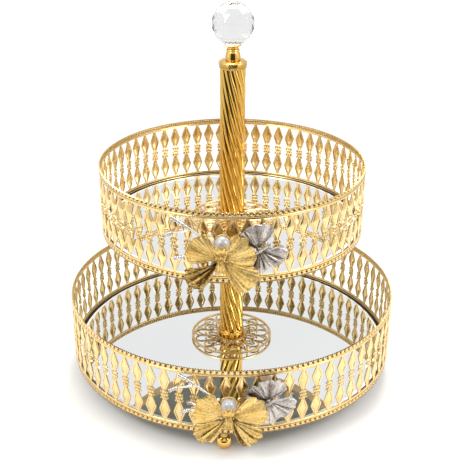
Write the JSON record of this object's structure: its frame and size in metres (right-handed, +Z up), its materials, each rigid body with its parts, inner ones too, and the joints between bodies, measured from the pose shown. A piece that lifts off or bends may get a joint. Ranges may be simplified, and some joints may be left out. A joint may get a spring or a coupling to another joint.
{
  "type": "tiered cake stand",
  "caption": "Tiered cake stand: round mirror trays with pierced metal galleries on a fluted screw-together column, with flower ornaments, ball feet and a crystal ball finial.",
  "frame": {"origin": "middle of the footprint on the surface the stand rests on; the column's axis is 8.9 mm behind it, because the ornaments project at the front", "axes": "+Z up along the column; -Y is the front, where the ornaments are; +X is to the right seen from the front"},
  "size_m": [0.3, 0.3178, 0.3422],
  "materials": {
    "gold": "pale gold plate, satin with an antique wash in the recesses",
    "silver": "antiqued silver plate",
    "mirror_glass": "silvered glass with a bevelled edge",
    "foam": "black foam",
    "felt": "grey-green felt",
    "steel": "zinc-plated",
    "bead_glass": "pearly clear",
    "crystal": "faceted clear crystal"
  },
  "bodies": {
    "base": {"lower_tray_pan": "gold", "lower_underside_disc": "felt", "lower_mirror_pad": "foam", "lower_mirror": "mirror_glass", "lower_bottom_rail": "gold", "lower_balusters": "gold", "lower_top_rail": "gold", "ball_feet": "gold", "base_screw": "steel", "base_washer": "steel", "lower_gold_flower": "gold", "lower_silver_flower": "silver", "lower_twigs": "silver", "lower_stamen": "silver", "lower_bead": "bead_glass", "lower_bead_cup": "gold", "lower_ornament_posts": "gold"},
    "lower_rosette": {"lower_rosette": "gold"},
    "lower_column": {"lower_column": "gold", "lower_foot_collar": "gold", "lower_column_foot_insert": "steel", "lower_column_head_insert": "steel", "joining_stud": "steel"},
    "upper_tray": {"upper_tray_pan": "gold", "upper_underside_disc": "felt", "upper_mirror_pad": "foam", "upper_mirror": "mirror_glass", "upper_bottom_rail": "gold", "upper_balusters": "gold", "upper_top_rail": "gold", "upper_gold_flower": "gold", "upper_silver_flower": "silver", "upper_twigs": "silver", "upper_stamen": "silver", "upper_bead": "bead_glass", "upper_bead_cup": "gold", "upper_ornament_posts": "gold"},
    "upper_rosette": {"upper_rosette": "gold"},
    "upper_column": {"upper_column": "gold", "upper_foot_collar": "gold", "upper_column_foot_insert": "steel", "upper_column_head_insert": "steel"},
    "column_cap": {"column_cap": "gold"},
    "finial": {"finial_neck": "gold", "crystal_ball": "crystal", "finial_stud": "steel"}
  },
  "joints": [
    {"name": "lower_column_turn", "type": "hinge", "parent": "base", "child": "lower_rosette", "pos_m": [0, 0.0089, 0], "axis": [0, 0, 1], "range_deg": [0, 2160]},
    {"name": "lower_column_rise", "type": "slide", "parent": "lower_rosette", "child": "lower_column", "axis": [0, 0, 1], "range_m": [0, 0.006]},
    {"name": "upper_tray_lift", "type": "slide", "parent": "lower_column", "child": "upper_tray", "axis": [0, 0, 1], "range_m": [0, 0.02]},
    {"name": "upper_column_turn", "type": "hinge", "parent": "upper_tray", "child": "upper_rosette", "pos_m": [0, 0.0089, 0], "axis": [0, 0, 1], "range_deg": [0, 2160]},
    {"name": "upper_column_rise", "type": "slide", "parent": "upper_rosette", "child": "upper_column", "axis": [0, 0, 1], "range_m": [0, 0.006]},
    {"name": "finial_turn", "type": "hinge", "parent": "upper_column", "child": "column_cap", "pos_m": [0, 0.0089, 0], "axis": [0, 0, 1], "range_deg": [0, 2160]},
    {"name": "finial_rise", "type": "slide", "parent": "column_cap", "child": "finial", "axis": [0, 0, 1], "range_m": [0, 0.006]}
  ],
  "couplings": [
    {"joint": "lower_column_rise", "follows": "lower_column_turn", "m_per_rad": 0.00015915},
    {"joint": "upper_column_rise", "follows": "upper_column_turn", "m_per_rad": 0.00015915},
    {"joint": "finial_rise", "follows": "finial_turn", "m_per_rad": 0.00015915}
  ]
}
